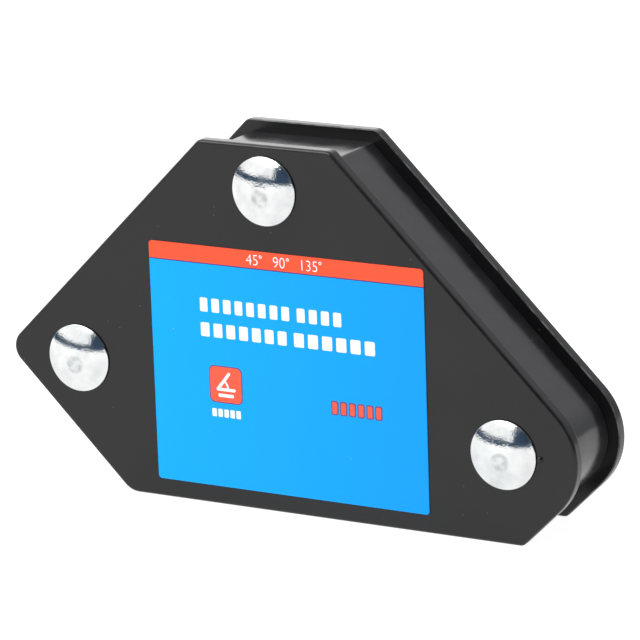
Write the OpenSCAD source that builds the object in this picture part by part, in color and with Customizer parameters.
// Welding magnet holder. Two steel pole plates are riveted over a moulded core,
// and the core holds three ferrite bars magnetised through their thickness, so
// that one plate becomes a north pole and the other a south pole. Steel clings
// to the plates' edges, which stand at 45, 90 and 135 degrees to each other.
//
// The holder stands on its base edge. X runs along that edge, Z is up, and the
// labelled face looks towards -Y. The origin is at the height of the base edge,
// in the middle of the overall width and of the overall thickness.

/* [Outline] */
// Height from the base edge to the top edge
body_h = 50; // [44:0.5:60]
// Length of the top edge between its sharp corners
top_w = 19.6; // [15:0.1:26]
// Height of the left corner above the base edge
left_corner_h = 18.6; // [15:0.1:22.5]
// Height of the right corner above the base edge
right_corner_h = 11.7; // [9.5:0.1:14.5]

/* [Corner radii] */
// Radius of the left corner
left_r = 2.6; // [1:0.1:6]
// Radius of the right corner
right_r = 9.2; // [4:0.1:11.5]
// Radius at the left end of the base edge
base_left_r = 3; // [0.5:0.1:5]
// Radius at the right end of the base edge
base_right_r = 1; // [0.5:0.1:5]
// Radius at both ends of the top edge
top_r = 1.5; // [0.5:0.1:5]

/* [Plates and core] */
// Thickness of each pole plate
plate_t = 1.8; // [1.2:0.1:3]
// Space between the plates, which the core and the magnets fill
core_t = 11.4; // [8:0.1:16]
// How far the core's wall stands back from the plates' edges
core_recess = 1.65; // [0.8:0.05:3]
// Smallest radius at a corner of the core's wall
core_corner_r = 0.6; // [0.3:0.1:2]

/* [Magnets] */
// Wall of the core between a magnet pocket and the outside
pocket_wall = 2.6; // [1.5:0.1:4]
// Web of the core between two magnet pockets
pocket_web = 1; // [0.6:0.1:2]
// Play all round a magnet in its pocket
magnet_gap = 0.15; // [0.05:0.05:0.4]

/* [Rivets] */
// Diameter of a rivet's shank
shank_d = 4; // [3:0.1:5]
// Diameter of the domed head on the labelled side
head_d = 9.3; // [7:0.1:10.5]
// Diameter of the formed head on the rear side
tail_d = 8; // [6:0.1:10]
// Height of each head above its plate
head_h = 1.4; // [0.8:0.1:2.5]
// Height of the straight rim below each head's dome
rim_h = 0.25; // [0.1:0.05:0.5]
// Play round the shank in the plates and the sleeves
shank_gap = 0.05; // [0.02:0.01:0.2]
// How far the top rivet sits below the top edge
top_rivet_drop = 6.1; // [5.5:0.1:8]
// How far the left rivet sits in from the left corner
left_rivet_in = 11.5; // [10:0.1:14]
// How far the left rivet sits below the left corner
left_rivet_drop = 0.5; // [-1:0.05:1]
// How far the right rivet sits in from the right corner
right_rivet_in = 14.1; // [12.5:0.1:17]
// How far the right rivet sits above the right corner
right_rivet_rise = 0.45; // [-1:0.05:1]

/* [Spacer sleeves] */
// Wall of the sleeve that keeps the plates apart round a rivet
sleeve_wall = 1; // [0.6:0.1:1.5]
// Play round a sleeve in the core
sleeve_gap = 0.1; // [0.05:0.05:0.3]
// Wall of the core round a sleeve
boss_wall = 1.2; // [0.8:0.1:2]

/* [Label] */
// Thickness of the label
label_t = 0.15; // [0.1:0.05:0.3]
// Radius of the label's corners
label_r = 0.5; // [0.2:0.1:3]
// Distance from the base edge up to the label
label_base_gap = 2.6; // [1:0.1:6]
// Distance from the top rivet's head down to the label
label_top_gap = 3.55; // [1:0.05:8]
// Distance from the left slope to the label's upper corner
label_left_gap = 4.4; // [0.5:0.1:8]
// Distance from the right slope to the label's upper corner
label_right_gap = 0.7; // [0.5:0.1:8]
// Smallest distance from the label to a side rivet's head
label_rivet_gap = 5; // [1:0.1:6]

/* [Hidden] */

$fn = 72;
arc_step = 8;        // largest turn between two points of a rounded corner, degrees
dome_steps = 10;     // straight runs in the curve of a rivet's dome
rows = 3;            // magnet bars, one above the other
cut = 1;             // how far a cutter reaches past what it cuts

// Every slope is at 45 degrees, so the heights set the base edge's length
base_w = top_w + 2 * (body_h - left_corner_h - right_corner_h);
left_x = -base_w / 2 - left_corner_h;
right_x = base_w / 2 + right_corner_h;
top_x = (left_x + right_x - left_corner_h + right_corner_h) / 2;

// A round of radius r moves the tip of a square corner in by this much
function tip_in(r) = r * (sqrt(2) - 1);
mid_x = (left_x + tip_in(left_r) + right_x - tip_in(right_r)) / 2;

// The plate's sharp corners as [x, height], anticlockwise from the base's left end
corners = [
    [-base_w / 2, 0],
    [base_w / 2, 0],
    [right_x, right_corner_h],
    [top_x + top_w / 2, body_h],
    [top_x - top_w / 2, body_h],
    [left_x, left_corner_h]
];
corner_radii = [base_left_r, base_right_r, right_r, top_r, top_r, left_r];

top_rivet = [top_x, body_h - top_rivet_drop];
left_rivet = [left_x + left_rivet_in, left_corner_h - left_rivet_drop];
right_rivet = [right_x - right_rivet_in, right_corner_h + right_rivet_rise];
rivets = [top_rivet, left_rivet, right_rivet];

body_t = core_t + 2 * plate_t;
hole_r = shank_d / 2 + shank_gap;
sleeve_r = hole_r + sleeve_wall;
bore_r = sleeve_r + sleeve_gap;
boss_r = bore_r + boss_wall;

// The magnet pockets fill the height between the base wall and the top boss
pocket_floor = core_recess + pocket_wall;
pocket_roof = top_rivet.y - boss_r;
pocket_h = (pocket_roof - pocket_floor - (rows - 1) * pocket_web) / rows;

// The label fills the width that the slopes and the side rivets' heads leave
head_r = head_d / 2;
label_top = top_rivet.y - head_r - label_top_gap;
label_left = max(slope_left(label_top, label_left_gap), left_rivet.x + head_r + label_rivet_gap);
label_right = min(slope_right(label_top, label_right_gap), right_rivet.x - head_r - label_rivet_gap);

// Where a line set in from the left or right slopes by inset crosses a height
function slope_left(z, inset) = left_x + abs(z - left_corner_h) + inset * sqrt(2);
function slope_right(z, inset) = right_x - abs(z - right_corner_h) - inset * sqrt(2);

function unit(v) = v / norm(v);

// Half the inside angle at a corner
function half_angle(before, at, after) = acos(unit(before - at) * unit(after - at)) / 2;

// The point at distance d from both edges that meet at a corner
function inside(before, at, after, d) =
    at + unit(unit(before - at) + unit(after - at)) * d / sin(half_angle(before, at, after));

function inset_corners(points, d) =
    let (n = len(points))
    [for (i = [0 : n - 1]) inside(points[(i + n - 1) % n], points[i], points[(i + 1) % n], d)];

// Points of the arc that rounds one corner. Their number is even plus one, so
// that one of them lies on the corner's bisector.
function corner_arc(before, at, after, r) =
    let (
        centre = inside(before, at, after, r),
        half = half_angle(before, at, after),
        start = at + unit(before - at) * r / tan(half) - centre,
        turn = 180 - 2 * half,
        steps = 2 * ceil(turn / arc_step / 2),
        first = atan2(start.y, start.x)
    )
    [for (i = [0 : steps]) centre + r * [cos(first + turn * i / steps), sin(first + turn * i / steps)]];

function rounded(points, radii) =
    let (n = len(points))
    [for (i = [0 : n - 1])
        each corner_arc(points[(i + n - 1) % n], points[i], points[(i + 1) % n], radii[i])];

// The profile of a dome, from its rim to its top, as [radius, height]
function dome(r, h, rim) =
    let (
        rise = h - rim,
        ball = (r * r + rise * rise) / (2 * rise),
        reach = asin(r / ball)
    )
    [for (i = [0 : dome_steps])
        let (a = reach * (1 - i / dome_steps))
        [ball * sin(a), h - ball * (1 - cos(a))]];

// Stands a shape up: its x stays, its height runs along Z, and an extrusion
// runs from y_back towards the labelled side
module upright(y_back) {
    translate([-mid_x, y_back, 0])
        rotate([90, 0, 0])
            children();
}

module plate(y_back) {
    upright(y_back)
        difference() {
            linear_extrude(plate_t) polygon(rounded(corners, corner_radii));
            for (at = rivets)
                translate([at.x, at.y, -cut]) cylinder(r = hole_r, h = plate_t + 2 * cut);
        }
}

// One magnet bar, or with play below 0 its pocket, in the row counted from the base
module bar(row, play, t) {
    low = pocket_floor + row * (pocket_h + pocket_web);
    high = low + pocket_h;
    wall = core_recess + pocket_wall;
    left = max(slope_left(low, wall), slope_left(high, wall), left_rivet.x + boss_r);
    right = min(slope_right(low, wall), slope_right(high, wall), right_rivet.x - boss_r);
    translate([left + play, low + play, 0])
        cube([right - left - 2 * play, high - low - 2 * play, t]);
}

module magnet(row) {
    color("dimgray")
        upright(core_t / 2)
            bar(row, magnet_gap, core_t);
}

module sleeve(at) {
    color("gainsboro")
        upright(core_t / 2)
            translate([at.x, at.y, 0])
                difference() {
                    cylinder(r = sleeve_r, h = core_t);
                    translate([0, 0, -cut]) cylinder(r = hole_r, h = core_t + 2 * cut);
                }
}

module rivet(at) {
    head = [for (p = dome(head_r, head_h, rim_h)) [p.x, body_t + p.y]];
    tail = [for (p = dome(tail_d / 2, head_h, rim_h)) [p.x, -p.y]];
    tail_up = [for (i = [len(tail) - 1 : -1 : 0]) tail[i]];
    shank = [[tail_d / 2, 0], [shank_d / 2, 0], [shank_d / 2, body_t], [head_r, body_t]];
    color("silver")
        upright(body_t / 2)
            translate([at.x, at.y, 0])
                rotate_extrude() polygon(concat(tail_up, shank, head));
}

module front_plate() {
    color([0.12, 0.12, 0.12]) plate(-core_t / 2);
}

module rear_plate() {
    color([0.12, 0.12, 0.12]) plate(body_t / 2);
}

module front_label() {
    points = [
        [label_left, label_base_gap],
        [label_right, label_base_gap],
        [label_right, label_top],
        [label_left, label_top]
    ];
    color([0.13, 0.68, 1])
        upright(-body_t / 2)
            linear_extrude(label_t) polygon(rounded(points, [for (p = points) label_r]));
}

module core_frame() {
    wall_radii = [for (r = corner_radii) max(r - core_recess, core_corner_r)];
    color([0.2, 0.2, 0.21])
        upright(core_t / 2)
            difference() {
                linear_extrude(core_t)
                    polygon(rounded(inset_corners(corners, core_recess), wall_radii));
                for (row = [0 : rows - 1])
                    translate([0, 0, -cut]) bar(row, 0, core_t + 2 * cut);
                for (at = rivets)
                    translate([at.x, at.y, -cut]) cylinder(r = bore_r, h = core_t + 2 * cut);
            }
}

front_plate();
rear_plate();
front_label();
core_frame();
magnet(0);  // magnet_lower
magnet(1);  // magnet_middle
magnet(2);  // magnet_upper
sleeve(top_rivet);  // sleeve_top
sleeve(left_rivet);  // sleeve_left
sleeve(right_rivet);  // sleeve_right
rivet(top_rivet);  // rivet_top
rivet(left_rivet);  // rivet_left
rivet(right_rivet);  // rivet_right
